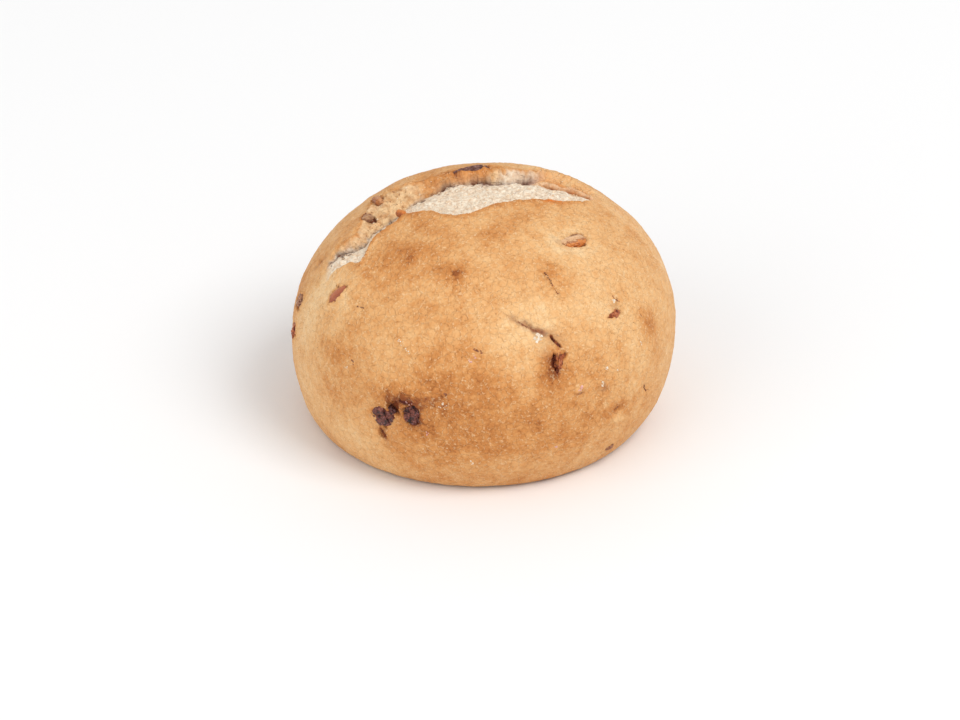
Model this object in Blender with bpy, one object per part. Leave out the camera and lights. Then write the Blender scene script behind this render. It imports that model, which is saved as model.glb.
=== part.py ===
# A raisin walnut roll: a round bread roll, slashed over the top, with raisins and
# walnut pieces that show in its crust.
# Frame: the origin is the centre of the flat underside, +Z is up, +X runs along the
# slash and -Y is the front, the side of the pale, wide part of the burst.
# Sizes are in millimetres, and MM turns them into metres as each mesh is made.
# A place on the crust is given as seen from the core point: its azimuth in degrees,
# 0 at the front and 90 at +X, and its climb in degrees above the widest level.

import math

import bmesh
import bpy
import numpy as np
from mathutils import Matrix
from mathutils import Vector

MM = 0.001

# The plain form: a dome above the widest level and a belly below it, cut by the floor.
HALF_WIDTH = 44.0
HALF_DEPTH = 43.2
WIDEST_LEVEL = 20.5
DOME_HEIGHT = 34.2
DOME_POWER = 2.12
BELLY_HEIGHT = 31.7
BELLY_POWER = 2.57
LEAN = 0.055          # sideways shift for each millimetre of height
FOOT_ROUND = 0.6      # rounding of the edge round the underside
FOOT_SNAP = 0.12      # anything this near to the floor lies on it
RELIEF_STARTS = 1.0   # height over which the relief fades in above the floor
RELIEF_FULL = 8.0

# Low unevenness of the crust: size of a swell and its height.
SWELL = 23.0
SWELL_RISE = 0.40
RIPPLE = 9.0
RIPPLE_RISE = 0.13
NOISE_SEED = 11
NOISE_SIDE = 32

# The burst of the slash, as lines seen from above: (x, y).
FRONT_LIP = (
    (-37, -11.2), (-34, -10.5), (-30.8, -11.0), (-27, -12.2), (-25.6, -9.0), (-23.9, -6.6),
    (-20.8, -5.0), (-18.6, -3.2), (-15.5, -2.9), (-12.3, -4.1), (-9.4, -6.1), (-5, -7.3),
    (-1.6, -6.3), (1.6, -4.3), (5.5, -2.8), (10.3, -1.0), (14.3, 0.1), (19.5, 1.5), (22, 3.2), (27, 9.0),
)
CREVICE = (
    (-37, -7.2), (-34, -5.4), (-31, -5.4), (-28.4, -4.7), (-26.5, -2.2), (-23.5, 0.2), (-20.7, 2.4),
    (-18.4, 6.0), (-14, 8.8), (-9, 11.2), (-5, 12.0), (0, 12.0), (3.6, 11.7), (6.2, 12.0),
    (9.1, 13.4), (13, 15.3), (16, 15.4), (21, 13.2), (27, 12.4),
)
BACK_LIP = (
    (-37, -6.2), (-34, -4.4), (-31, -4.3), (-28.8, -3.4), (-27.6, 0.5), (-26.8, 4.5), (-24.5, 9.0),
    (-21, 11.0), (-15, 12.0), (-9, 12.6), (-5, 13.1), (0, 13.2), (4, 14.3), (9, 14.9),
    (16, 17.2), (22, 14.6), (27, 13.8),
)
BURST_DEPTH = (
    (-38, 0.0), (-32, 1.0), (-26, 2.4), (-16, 2.7), (-8, 2.1), (2, 1.9), (11, 1.8), (20, 1.1), (28, 0.0),
)
BURST_ENDS = (-38.0, 28.0)
BURST_LOWEST = 30.0   # no burst on the skin below this height
LIP_CLIFF = 1.1       # the front lip falls off within this distance
LIP_RISE = 0.55
LIP_DECAY = 3.0
BACK_RISE = 0.75
BACK_DECAY = 6.0
CRUMB_SIZE = 2.6      # crags of the torn crumb
CRUMB_RISE = 0.38

# Lumps (+) and dents (-) in the crust: place, half sizes, turn and height.
RELIEF_SPOTS = {
    "stained_lump_right": dict(azimuth=-16.4, climb=48.8, along=4.0, across=2.6, turn=0, rise=0.7),
    "stained_lump_left": dict(azimuth=-44.9, climb=52.5, along=4.2, across=2.4, turn=10, rise=0.6),
    "lump_over_front_raisins": dict(azimuth=-26.0, climb=7.5, along=5.0, across=2.0, turn=8, rise=0.9),
    "hollow_round_front_raisins": dict(azimuth=-27.6, climb=-1.4, along=6.2, across=3.2, turn=14, rise=-1.3),
    "hollow_below_front_raisins": dict(azimuth=-32.5, climb=-9.5, along=2.2, across=1.5, turn=80, rise=-0.7),
    "lump_beside_centre_raisin": dict(azimuth=20.6, climb=18.5, along=2.2, across=2.6, turn=0, rise=0.8),
    "hollow_at_centre_raisin": dict(azimuth=25.2, climb=19.4, along=4.2, across=1.6, turn=82, rise=-1.2),
    "slit_to_centre_raisin": dict(azimuth=16.2, climb=29.5, along=3.9, across=0.9, turn=-40, rise=-0.8),
    "hollow_at_upper_walnut": dict(azimuth=61.0, climb=51.6, along=4.4, across=2.8, turn=0, rise=-1.0),
    "oval_swelling_right": dict(azimuth=64.9, climb=15.6, along=3.6, across=2.0, turn=85, rise=0.5),
    "lump_right_of_slit": dict(azimuth=40.5, climb=43.5, along=3.4, across=2.6, turn=0, rise=0.45),
    "ringed_dimple": dict(azimuth=44.3, climb=-4.9, along=1.4, across=1.2, turn=0, rise=-0.6),
    "flat_lower_left_flank": dict(azimuth=-66.0, climb=-11.0, along=12.0, across=7.0, turn=0, rise=-1.1),
}

# Pieces in the crust: length, width and thickness, how far the top stands out of the
# skin around it, the turn of the length away from level, and for one a tilt out of the skin.
RAISINS = {
    "raisin_front_left": dict(azimuth=-31.7, climb=-2.6, size=(7.4, 7.0, 3.8), turn=18, proud=1.3, level=3),
    "raisin_front_right": dict(azimuth=-22.0, climb=0.6, size=(5.0, 6.0, 3.6), turn=0, proud=1.3, level=3),
    "raisin_centre": dict(azimuth=25.2, climb=19.2, size=(8.4, 3.4, 3.4), turn=82, proud=1.2, level=3),
    "raisin_side": dict(azimuth=49.6, climb=25.1, size=(3.8, 2.4, 2.2), turn=0, proud=0.8, level=2),
    "raisin_left_upper": dict(azimuth=-82.8, climb=13.3, size=(5.6, 4.2, 2.8), turn=30, proud=0.9, level=2),
    "raisin_left_lower": dict(azimuth=-80.8, climb=4.0, size=(6.0, 4.2, 2.8), turn=75, proud=0.9, level=2),
    "raisin_low_right": dict(azimuth=45.2, climb=-20.4, size=(2.8, 2.0, 1.8), turn=10, proud=0.6, level=2),
    "raisin_burst": dict(azimuth=-96.8, climb=45.2, size=(3.6, 2.8, 2.6), turn=60, proud=0.9, level=2),
    "raisin_top": dict(azimuth=-166.6, climb=64.3, size=(9.6, 2.8, 2.6), turn=174, proud=0.8, level=3, tilt=8),
    "raisin_back_right": dict(azimuth=136.0, climb=20.0, size=(8.2, 5.4, 3.6), turn=-25, proud=1.1, level=2),
    "raisin_back_low": dict(azimuth=172.0, climb=9.0, size=(8.8, 5.8, 3.6), turn=20, proud=1.1, level=2),
}
WALNUTS = {
    "walnut_upper_right": dict(azimuth=60.0, climb=51.4, size=(7.4, 3.8, 3.4), turn=-22, proud=1.3, level=3),
    "walnut_left": dict(azimuth=-62.8, climb=26.6, size=(6.8, 3.0, 2.2), turn=66, proud=0.6, level=2),
    "walnut_burst": dict(azimuth=-111.0, climb=46.9, size=(4.6, 2.8, 2.6), turn=40, proud=0.9, level=2),
    "walnut_crevice": dict(azimuth=-91.1, climb=58.1, size=(3.8, 2.4, 2.6), turn=40, proud=1.9, level=2),
    "walnut_back": dict(azimuth=-152.0, climb=14.0, size=(7.6, 4.6, 3.4), turn=-15, proud=1.0, level=2),
}
POCKET_GAP = 0.35
RAISIN_FOLD = 0.09
WALNUT_POWER = 3.0
WALNUT_LOBE = 0.07

# Fineness: level 5 of an icosphere is about 3 mm at this size, and a split halves it.
CRUST_LEVEL = 5
SPLIT_ROUND_BURST = 2.5
SPLIT_ROUND_LINES = 1.5
SPLIT_ROUND_SPOTS = 4.5

# Colours in linear light, with roughness.
CRUST_FINISH = ((0.72, 0.43, 0.20), 0.62)
RAISIN_FINISH = ((0.14, 0.045, 0.025), 0.40)
WALNUT_FINISH = ((0.47, 0.20, 0.07), 0.50)


def clear_scene():
    for old in list(bpy.data.objects):
        bpy.data.objects.remove(old, do_unlink=True)


def finish(name, colour_and_roughness):
    colour, roughness = colour_and_roughness
    material = bpy.data.materials.new(name)
    material.use_nodes = True
    shader = material.node_tree.nodes["Principled BSDF"]
    shader.inputs["Base Color"].default_value = (*colour, 1.0)
    shader.inputs["Roughness"].default_value = roughness
    shader.inputs["Metallic"].default_value = 0.0
    return material


def smooth_step(value, low, high):
    part = np.clip((value - low) / (high - low), 0.0, 1.0)
    return part * part * (3.0 - 2.0 * part)


def lattice():
    return np.random.default_rng(NOISE_SEED).random((NOISE_SIDE,) * 3) * 2.0 - 1.0


LATTICE = lattice()


def noise(points):
    # Values between -1 and 1 that change smoothly over one unit of length.
    base = np.floor(points).astype(int)
    part = points - base
    part = part * part * (3.0 - 2.0 * part)
    total = np.zeros(len(points))
    for corner in np.ndindex(2, 2, 2):
        weight = np.prod(np.where(corner, part, 1.0 - part), axis=1)
        x, y, z = ((base + corner) % NOISE_SIDE).T
        total += weight * LATTICE[x, y, z]
    return total


def line_at(line, x):
    return np.interp(x, [point[0] for point in line], [point[1] for point in line])


def form(ways):
    # Points of the plain form in the given directions from the core point, and normals.
    leaning = ways[:, 0] - LEAN * ways[:, 2]
    upper = ways[:, 2] >= 0
    power = np.where(upper, DOME_POWER, BELLY_POWER)
    height = np.where(upper, DOME_HEIGHT, BELLY_HEIGHT)
    side = np.hypot(leaning / HALF_WIDTH, ways[:, 1] / HALF_DEPTH)
    rise = np.abs(ways[:, 2]) / height
    to_skin = (side ** power + rise ** power) ** (-1.0 / power)
    to_floor = WIDEST_LEVEL / np.maximum(-ways[:, 2], 1e-6)
    reach = -FOOT_ROUND * np.log(np.exp(-to_skin / FOOT_ROUND) + np.exp(-to_floor / FOOT_ROUND))
    points = ways * reach[:, None]
    points[:, 2] += WIDEST_LEVEL
    across = side ** (power - 2.0)
    normals = np.empty_like(points)
    normals[:, 0] = across * leaning / HALF_WIDTH ** 2
    normals[:, 1] = across * ways[:, 1] / HALF_DEPTH ** 2
    normals[:, 2] = rise ** (power - 1.0) * np.sign(ways[:, 2]) / height - LEAN * normals[:, 0]
    normals /= np.linalg.norm(normals, axis=1)[:, None]
    return points, normals


def way_of(spot):
    azimuth = math.radians(spot["azimuth"])
    climb = math.radians(spot["climb"])
    level = math.cos(climb)
    return np.array([[math.sin(azimuth) * level, -math.cos(azimuth) * level, math.sin(climb)]])


def axes_at(spot):
    # The point of the plain form at a place, with its length, width and outward axes.
    points, normals = form(way_of(spot))
    normal = normals[0]
    azimuth = math.radians(spot["azimuth"])
    east = np.array([math.cos(azimuth), math.sin(azimuth), 0.0])
    east -= normal * east.dot(normal)
    east /= np.linalg.norm(east)
    up = np.cross(normal, east)
    turn = math.radians(spot["turn"])
    along = east * math.cos(turn) + up * math.sin(turn)
    return points[0], along, np.cross(normal, along), normal


def burst_relief(points):
    x, y, z = points.T
    front = line_at(FRONT_LIP, x)
    crevice = np.maximum(line_at(CREVICE, x), front + LIP_CLIFF)
    back = np.maximum(line_at(BACK_LIP, x), crevice + LIP_CLIFF)
    depth = line_at(BURST_DEPTH, x)
    ends = smooth_step(x, BURST_ENDS[0], BURST_ENDS[0] + 8.0)
    ends *= 1.0 - smooth_step(x, BURST_ENDS[1] - 8.0, BURST_ENDS[1])
    ends *= smooth_step(z, BURST_LOWEST, BURST_LOWEST + 4.0)
    toward = np.clip((y - front) / (crevice - front), 0.0, 1.0)
    beyond = np.clip((y - crevice) / (back - crevice), 0.0, 1.0)
    floor = -depth * (0.40 + 0.60 * toward ** 1.5)
    cliff = smooth_step(y - front, 0.0, LIP_CLIFF)
    inside = floor * cliff + LIP_RISE * (1.0 - cliff)
    wall = -depth * (1.0 - beyond) + BACK_RISE * beyond
    outside_front = LIP_RISE * np.exp(-np.abs(y - front) / LIP_DECAY)
    outside_back = BACK_RISE * np.exp(-np.abs(y - back) / BACK_DECAY)
    relief = np.where(y < front, outside_front, np.where(y < crevice, inside, wall))
    relief = np.where(y > back, outside_back, relief)
    torn = smooth_step(y, front, front + LIP_CLIFF) * (1.0 - smooth_step(y, back - 0.5, back + 1.5))
    relief += torn * CRUMB_RISE * noise(points / CRUMB_SIZE)
    return relief * ends


def spot_relief(points, spot):
    place, along, across, normal = axes_at(spot)
    offset = points - place
    depth_scale = 1.5 * max(spot["along"], spot["across"])
    far = (offset @ along / spot["along"]) ** 2
    far += (offset @ across / spot["across"]) ** 2
    far += (offset @ normal / depth_scale) ** 2
    return spot["rise"] * np.exp(-0.5 * far)


def crust_points(ways):
    points, normals = form(ways)
    relief = SWELL_RISE * noise(points / SWELL + 3.7)
    relief += RIPPLE_RISE * noise(points / RIPPLE + 9.1)
    for spot in RELIEF_SPOTS.values():
        relief += spot_relief(points, spot)
    relief += burst_relief(points)
    relief *= smooth_step(points[:, 2], RELIEF_STARTS, RELIEF_FULL)
    points += normals * relief[:, None]
    points[:, 2] = np.where(points[:, 2] < FOOT_SNAP, 0.0, points[:, 2])
    return points


def near_burst(points):
    x, y, z = points.T
    inside = (y > line_at(FRONT_LIP, x) - SPLIT_ROUND_BURST)
    inside &= (y < line_at(BACK_LIP, x) + SPLIT_ROUND_BURST)
    return inside & (x > BURST_ENDS[0]) & (x < BURST_ENDS[1]) & (z > BURST_LOWEST)


def near_lines(points):
    x, y, z = points.T
    close = np.zeros(len(points), dtype=bool)
    for line in (FRONT_LIP, CREVICE, BACK_LIP):
        close |= np.abs(y - line_at(line, x)) < SPLIT_ROUND_LINES
    return close & (x > BURST_ENDS[0] + 3) & (x < BURST_ENDS[1] - 3) & (z > BURST_LOWEST)


def near_spots(points):
    close = near_burst(points)
    for spot in [*RAISINS.values(), *WALNUTS.values()]:
        if spot["level"] == 3:
            close |= np.linalg.norm(points - axes_at(spot)[0], axis=1) < SPLIT_ROUND_SPOTS
    return close


def ways_in(body):
    ways = np.array([vertex.co[:] for vertex in body.verts])
    return ways / np.linalg.norm(ways, axis=1)[:, None]


def split_where(body, chosen):
    body.verts.ensure_lookup_table()
    body.verts.index_update()
    inside = chosen(form(ways_in(body))[0])
    edges = [edge for edge in body.edges if all(inside[vertex.index] for vertex in edge.verts)]
    bmesh.ops.subdivide_edges(body, edges=edges, cuts=1, use_grid_fill=True)
    bmesh.ops.triangulate(body, faces=[face for face in body.faces if len(face.verts) > 3])


def make_object(name, body, material):
    mesh = bpy.data.meshes.new(name)
    body.to_mesh(mesh)
    body.free()
    mesh.materials.append(material)
    mesh.shade_smooth()
    made = bpy.data.objects.new(name, mesh)
    bpy.context.scene.collection.objects.link(made)
    return made


def make_roll(material):
    body = bmesh.new()
    bmesh.ops.create_icosphere(body, subdivisions=CRUST_LEVEL, radius=1.0)
    split_where(body, near_spots)
    split_where(body, near_lines)
    for vertex, point in zip(body.verts, crust_points(ways_in(body))):
        vertex.co = Vector(point) * MM
    underside = [face for face in body.faces if all(vertex.co.z == 0.0 for vertex in face.verts)]
    bmesh.ops.dissolve_faces(body, faces=underside, use_verts=True)
    return make_object("roll", body, material)


def raisin_shape(ways, phase):
    # Folds that run the length of the raisin and fade out at its ends.
    x, y, z = ways.T
    around = np.arctan2(z, y)
    folds = np.sin(4 * around + 2.2 * x + phase) + 0.5 * np.sin(7 * around - 3.0 * x + 2 * phase)
    return ways * (1.0 - RAISIN_FOLD + RAISIN_FOLD * folds * (1.0 - x * x))[:, None]


def walnut_shape(ways, phase):
    # A broken piece: blunt sides and a few lobes.
    x, y, z = ways.T
    blunt = np.sum(np.abs(ways) ** WALNUT_POWER, axis=1) ** (-1.0 / WALNUT_POWER)
    lobes = np.sin(5.0 * x + phase) + np.sin(4.0 * y + 3.0 * z + 2 * phase)
    return ways * (0.93 * blunt * (1.0 + 0.5 * WALNUT_LOBE * lobes))[:, None]


def make_piece(name, spot, shape, phase, material, gap):
    body = bmesh.new()
    bmesh.ops.create_icosphere(body, subdivisions=spot["level"], radius=1.0)
    half = np.array(spot["size"]) / 2.0
    ways = ways_in(body)
    outward = ways / half
    outward /= np.linalg.norm(outward, axis=1)[:, None]
    local = shape(ways, phase) * half + outward * gap
    for vertex, point in zip(body.verts, local):
        vertex.co = Vector(point) * MM
    made = make_object(name, body, material)
    along, across, normal = axes_at(spot)[1:]
    centre = crust_points(way_of(spot))[0] + normal * (spot["proud"] - half[2])
    tilt = math.radians(spot.get("tilt", 0.0))
    raised = along * math.cos(tilt) + normal * math.sin(tilt)
    turned = Matrix((raised, across, np.cross(raised, across))).transposed().to_4x4()
    made.matrix_world = Matrix.Translation(Vector(centre) * MM) @ turned
    return made


def make_pieces(spots, shape, material, cutters):
    # Each piece, and the slightly larger cutter that makes its pocket in the roll.
    for number, (name, spot) in enumerate(spots.items()):
        phase = 1.7 * number
        make_piece(name, spot, shape, phase, material, 0.0)
        cutter = make_piece(name + "_pocket", spot, shape, phase, material, POCKET_GAP)
        cutter.hide_render = True
        cutter.display_type = "WIRE"
        bpy.context.scene.collection.objects.unlink(cutter)
        cutters.objects.link(cutter)


def cut_pockets(roll, cutters):
    pockets = roll.modifiers.new("pockets", "BOOLEAN")
    pockets.operation = "DIFFERENCE"
    pockets.operand_type = "COLLECTION"
    pockets.collection = cutters
    pockets.solver = "EXACT"


def build():
    clear_scene()
    cutters = bpy.data.collections.new("pockets")
    bpy.context.scene.collection.children.link(cutters)
    roll = make_roll(finish("crust", CRUST_FINISH))
    make_pieces(RAISINS, raisin_shape, finish("raisin", RAISIN_FINISH), cutters)
    make_pieces(WALNUTS, walnut_shape, finish("walnut", WALNUT_FINISH), cutters)
    cut_pockets(roll, cutters)


build()
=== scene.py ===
import math

import bmesh
import bpy
import numpy as np
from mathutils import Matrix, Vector


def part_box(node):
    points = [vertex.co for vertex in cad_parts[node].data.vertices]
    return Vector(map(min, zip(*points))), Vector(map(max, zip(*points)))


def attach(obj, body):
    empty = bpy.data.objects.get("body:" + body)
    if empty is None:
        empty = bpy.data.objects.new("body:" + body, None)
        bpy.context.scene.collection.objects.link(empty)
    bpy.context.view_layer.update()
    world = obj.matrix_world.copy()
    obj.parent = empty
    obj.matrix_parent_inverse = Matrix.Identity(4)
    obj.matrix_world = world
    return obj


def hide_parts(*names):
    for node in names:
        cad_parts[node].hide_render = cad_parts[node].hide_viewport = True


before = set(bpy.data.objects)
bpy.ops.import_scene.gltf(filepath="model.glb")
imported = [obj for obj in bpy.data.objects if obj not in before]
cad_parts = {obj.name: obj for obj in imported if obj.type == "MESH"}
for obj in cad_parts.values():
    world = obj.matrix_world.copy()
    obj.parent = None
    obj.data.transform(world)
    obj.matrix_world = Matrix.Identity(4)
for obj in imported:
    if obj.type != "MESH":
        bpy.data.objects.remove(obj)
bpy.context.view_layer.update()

# Lengths are in millimetres here, and become metres as each mesh is made.
# A place on the roll is an azimuth (0 at the front, 90 at +X) and a climb, in degrees,
# seen from the core point, which is on the centre line at the widest level.
mm = 0.001


# Camera, light and floor

stage = {
    "cameraElevation": 31.0,
    "cameraDistance": 1576.0,
    "lens": 257.25,
    "sensorWidth": 36.0,
    "nearestSeen": 50.0,
    "shiftX": -0.00365,
    "shiftY": -0.0354,
    "floorHalf": 3000.0,
    "floorDrop": 0.2,
    "floorColour": (0.90, 0.90, 0.90),
    "floorRoughness": 0.55,
    "floorGloss": 0.25,
    "skyStrength": 0.68,
    "keyPlace": (1150.0, -825.0, 1850.0),
    "keySize": 1250.0,
    "keyPower": 27.4,
    "fillPlace": (-1200.0, -1040.0, 840.0),
    "fillSize": 1600.0,
    "fillPower": 8.6,
}


def aimAt(thing, target):
    away = thing.location - target
    thing.rotation_euler = away.to_track_quat("Z", "Y").to_euler()


def addAreaLight(name, place, size, power):
    lamp = bpy.data.lights.new(name, "AREA")
    lamp.energy = power
    lamp.size = size * mm
    holder = bpy.data.objects.new(name, lamp)
    holder.location = Vector(place) * mm
    bpy.context.scene.collection.objects.link(holder)
    aimAt(holder, Vector((0.0, 0.0, form["widestLevel"] * mm)))


def addCamera():
    elevation = math.radians(stage["cameraElevation"])
    reach = stage["cameraDistance"] * mm
    camera = bpy.data.cameras.new("photoCamera")
    camera.lens = stage["lens"]
    camera.sensor_width = stage["sensorWidth"]
    camera.shift_x = stage["shiftX"]
    camera.shift_y = stage["shiftY"]
    camera.clip_start = stage["nearestSeen"] * mm
    holder = bpy.data.objects.new("photoCamera", camera)
    level = form["widestLevel"] * mm
    holder.location = (0.0, -reach * math.cos(elevation), level + reach * math.sin(elevation))
    holder.rotation_euler = (math.pi / 2 - elevation, 0.0, 0.0)
    bpy.context.scene.collection.objects.link(holder)
    bpy.context.scene.camera = holder


def addSky():
    sky = bpy.data.worlds.new("softRoom")
    sky.use_nodes = True
    back = sky.node_tree.nodes["Background"]
    back.inputs["Color"].default_value = (1.0, 1.0, 1.0, 1.0)
    back.inputs["Strength"].default_value = stage["skyStrength"]
    bpy.context.scene.world = sky


def addFloor():
    body = bmesh.new()
    bmesh.ops.create_grid(body, x_segments=1, y_segments=1, size=stage["floorHalf"] * mm)
    mesh = bpy.data.meshes.new("paleFloor")
    body.to_mesh(mesh)
    body.free()
    floor = bpy.data.objects.new("paleFloor", mesh)
    floor.location.z = -stage["floorDrop"] * mm
    bpy.context.scene.collection.objects.link(floor)
    paint = bpy.data.materials.new("paleFloorPaint")
    paint.use_nodes = True
    shader = paint.node_tree.nodes["Principled BSDF"]
    shader.inputs["Base Color"].default_value = (*stage["floorColour"], 1.0)
    shader.inputs["Roughness"].default_value = stage["floorRoughness"]
    shader.inputs["Specular IOR Level"].default_value = stage["floorGloss"]
    mesh.materials.append(paint)


def buildStage():
    bpy.context.scene.view_settings.view_transform = "Standard"
    addCamera()
    addSky()
    addAreaLight("keySoftbox", stage["keyPlace"], stage["keySize"], stage["keyPower"])
    addAreaLight("fillSoftbox", stage["fillPlace"], stage["fillSize"], stage["fillPower"])
    addFloor()
    print("camera, lights and floor")


# Noise for shapes

lattices = {
    "side": 32,
    "seed": 11,
    "jitterSeed": 29,
    "finer": 2.03,
    "shift": 7.7,
    "weaker": 0.5,
}
latticeShape = (lattices["side"],) * 3
lattice = np.random.default_rng(lattices["seed"]).random(latticeShape) * 2.0 - 1.0
jitter = np.random.default_rng(lattices["jitterSeed"]).random((*latticeShape, 3))


def smoothNoise(points):
    base = np.floor(points).astype(int)
    part = points - base
    part = part * part * (3.0 - 2.0 * part)
    total = np.zeros(len(points))
    for corner in np.ndindex(2, 2, 2):
        weight = np.prod(np.where(corner, part, 1.0 - part), axis=1)
        x, y, z = ((base + corner) % lattices["side"]).T
        total += weight * lattice[x, y, z]
    return total


def layeredNoise(points, layers):
    total = np.zeros(len(points))
    for layer in range(layers):
        spots = points * lattices["finer"] ** layer + lattices["shift"] * layer
        total += smoothNoise(spots) * lattices["weaker"] ** layer
    return total


def cellNoise(points):
    # distance to the nearest scattered seed, and that seed's own random number
    base = np.floor(points).astype(int)
    nearest = np.full(len(points), 9.0)
    share = np.zeros(len(points))
    for step in np.ndindex(3, 3, 3):
        cell = base + step - 1
        x, y, z = (cell % lattices["side"]).T
        away = np.linalg.norm(cell + jitter[x, y, z] - points, axis=1)
        closer = away < nearest
        nearest = np.where(closer, away, nearest)
        share = np.where(closer, lattice[x, y, z], share)
    return nearest, share


def smoothStep(value, low, high):
    part = np.clip((value - low) / (high - low), 0.0, 1.0)
    return part * part * (3.0 - 2.0 * part)


def between(value, starts, ends):
    # 1 inside a range, with a soft start and a soft end
    return smoothStep(value, *starts) * (1.0 - smoothStep(value, *ends))


def bell(offset, width):
    # 1 where the offset is 0, falling off on both sides
    return np.exp(-(offset / width) ** 2)


# The roll's form

form = {
    "halfWidth": 44.0,
    "halfDepth": 43.2,
    "widestLevel": 20.5,
    "domeHeight": 34.2,
    "domePower": 2.12,
    "bellyHeight": 31.7,
    "bellyPower": 2.57,
    "lean": 0.055,
    "footRound": 0.6,
    "footSnap": 0.12,
    "reliefStarts": 1.0,
    "reliefFull": 8.0,
    "swell": 23.0,
    "swellRise": 0.40,
    "ripple": 9.0,
    "rippleRise": 0.13,
}


def plainForm(ways):
    leaning = ways[:, 0] - form["lean"] * ways[:, 2]
    upper = ways[:, 2] >= 0
    power = np.where(upper, form["domePower"], form["bellyPower"])
    height = np.where(upper, form["domeHeight"], form["bellyHeight"])
    side = np.hypot(leaning / form["halfWidth"], ways[:, 1] / form["halfDepth"])
    rise = np.abs(ways[:, 2]) / height
    toSkin = (side ** power + rise ** power) ** (-1.0 / power)
    toFloor = form["widestLevel"] / np.maximum(-ways[:, 2], 1e-6)
    rounding = form["footRound"]
    reach = -rounding * np.log(np.exp(-toSkin / rounding) + np.exp(-toFloor / rounding))
    points = ways * reach[:, None]
    points[:, 2] += form["widestLevel"]
    across = side ** (power - 2.0)
    normals = np.empty_like(points)
    normals[:, 0] = across * leaning / form["halfWidth"] ** 2
    normals[:, 1] = across * ways[:, 1] / form["halfDepth"] ** 2
    normals[:, 2] = rise ** (power - 1.0) * np.sign(ways[:, 2]) / height - form["lean"] * normals[:, 0]
    normals /= np.linalg.norm(normals, axis=1)[:, None]
    return points, normals


def wayOf(azimuth, climb):
    azimuth = np.radians(np.atleast_1d(azimuth))
    climb = np.radians(np.atleast_1d(climb))
    level = np.cos(climb)
    return np.stack([np.sin(azimuth) * level, -np.cos(azimuth) * level, np.sin(climb)], axis=1)


def wayAbove(x, y):
    # direction from the core point to the plain dome above a spot on the plan
    side = np.hypot(x / form["halfWidth"], y / form["halfDepth"])
    height = form["domeHeight"] * (1.0 - side ** form["domePower"]) ** (1.0 / form["domePower"])
    ways = np.stack([x, y, height], axis=1)
    return ways / np.linalg.norm(ways, axis=1)[:, None]


def axesAt(azimuth, climb, turn):
    # place, length axis, width axis and outward axis of something lying in the crust
    points, normals = plainForm(wayOf(azimuth, climb))
    outward = normals[0]
    azimuth = math.radians(azimuth)
    east = np.array([math.cos(azimuth), math.sin(azimuth), 0.0])
    east -= outward * east.dot(outward)
    east /= np.linalg.norm(east)
    up = np.cross(outward, east)
    turn = math.radians(turn)
    along = east * math.cos(turn) + up * math.sin(turn)
    return points[0], along, np.cross(outward, along), outward


patchThickness = 1.5  # of an oval patch, against its longer half size


def patchReach(points, azimuth, climb, along, across, turn):
    # 0 at the middle of an oval patch, 1 at its edge
    place, lengthAxis, widthAxis, outward = axesAt(azimuth, climb, turn)
    offset = points - place
    far = (offset @ lengthAxis / along) ** 2
    far += (offset @ widthAxis / across) ** 2
    far += (offset @ outward / (patchThickness * max(along, across))) ** 2
    return np.sqrt(far)


def patchShare(points, *patch):
    # 1 at the middle of an oval patch, falling off over its half sizes
    return np.exp(-0.5 * patchReach(points, *patch) ** 2)


# azimuth, climb, half length, half width, turn, height
lumpsAndHollows = {
    "stainedLumpRight": (-15.5, 48.5, 3.6, 2.0, -6, 0.6),
    "stainedLumpLeft": (-44.2, 52.3, 3.8, 2.0, 30, 0.5),
    "lumpOverFrontRaisins": (-25.8, 6.6, 4.6, 1.7, 5, 0.8),
    "hollowRoundFrontRaisins": (-27.6, -1.4, 6.2, 3.4, 14, -0.75),
    "hollowBelowFrontRaisins": (-32.0, -8.0, 2.4, 1.3, -63, -0.45),
    "lumpBelowFrontRaisins": (-24.5, -6.2, 3.4, 1.3, 15, 0.35),
    "lumpBesideCentreRaisin": (20.2, 20.0, 1.8, 2.4, -69, 0.7),
    "lumpRightOfCentreRaisin": (28.6, 21.5, 1.1, 2.4, 10, 0.6),
    "hollowAtCentreRaisin": (25.0, 19.6, 4.2, 1.3, 88, -0.20),
    "slitToCentreRaisin": (16.0, 29.6, 3.6, 0.75, -41, -0.9),
    "flapOverSlit": (17.6, 31.2, 3.4, 0.9, -41, 0.40),
    "hollowAtUpperWalnut": (59.0, 51.4, 4.4, 2.8, -28, -0.9),
    "ovalSwellingRight": (62.0, 16.6, 3.4, 1.8, -84, 0.45),
    "lumpRightOfSlit": (36.4, 42.6, 3.4, 2.4, -39, 0.40),
    "ringedDimple": (44.8, -5.4, 1.4, 1.2, 0, -0.6),
    "flatLowerLeftFlank": (-66.0, -11.0, 12.0, 7.0, 0, -1.1),
    "risingToUpperLeftRaisin": (-82.8, 13.3, 3.6, 3.0, 30, 0.35),
    "risingToLowerLeftRaisin": (-80.8, 4.0, 3.8, 3.0, 75, 0.30),
    "risingToLeftWalnut": (-62.8, 26.6, 4.0, 2.4, 66, 0.35),
    "risingToSideRaisin": (49.6, 25.1, 2.6, 2.0, 0, 0.45),
    "risingToBackRaisin": (136.0, 20.0, 5.2, 3.8, -25, 0.45),
    "risingToBackLowRaisin": (172.0, 9.0, 5.6, 4.0, 20, 0.45),
    "risingToBackWalnut": (-152.0, 14.0, 5.0, 3.4, -15, 0.60),
}

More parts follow.
